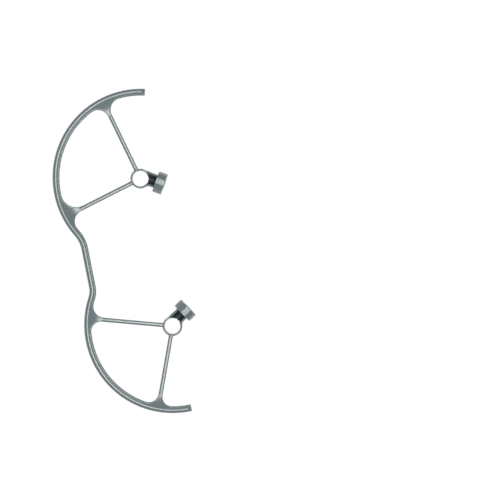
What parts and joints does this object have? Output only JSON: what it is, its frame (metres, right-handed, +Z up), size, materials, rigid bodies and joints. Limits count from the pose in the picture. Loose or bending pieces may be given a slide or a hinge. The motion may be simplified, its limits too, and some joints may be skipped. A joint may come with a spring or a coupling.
{
  "type": "drone propeller guard",
  "caption": "One side's clip-on propeller guard for a folding drone: curved rims joined by a bar, spokes to motor rings, and turning collars that lock it on the arms.",
  "frame": {"origin": "centre of the front motor ring's bore, on the underside that the guard lies on", "axes": "+Z up, out of the motor rings; +Y towards the front of the drone; -X towards its outer side"},
  "size_m": [0.1836, 0.4165, 0.0277],
  "materials": {
    "guard_grey": "satin, lightly textured moulding",
    "collar_grey": "satin, fine lengthwise grip lines",
    "liner_black": "soft matt"
  },
  "bodies": {
    "frame": {"guard_frame": "guard_grey", "front_cradle_pad": "liner_black", "rear_cradle_pad": "liner_black"},
    "front_collar": {"front_lock_collar": "collar_grey"},
    "rear_collar": {"rear_lock_collar": "collar_grey"}
  },
  "joints": [
    {"name": "front_collar_turn", "type": "hinge", "parent": "frame", "child": "front_collar", "pos_m": [0.02563, -0.00592, 0.014], "axis": [0.9385, -0.3453, 0], "range_deg": [0, 185.5]},
    {"name": "rear_collar_turn", "type": "hinge", "parent": "frame", "child": "rear_collar", "pos_m": [0.05775, -0.16867, 0.014], "axis": [0.7181, 0.6959, 0], "range_deg": [0, 173]}
  ]
}
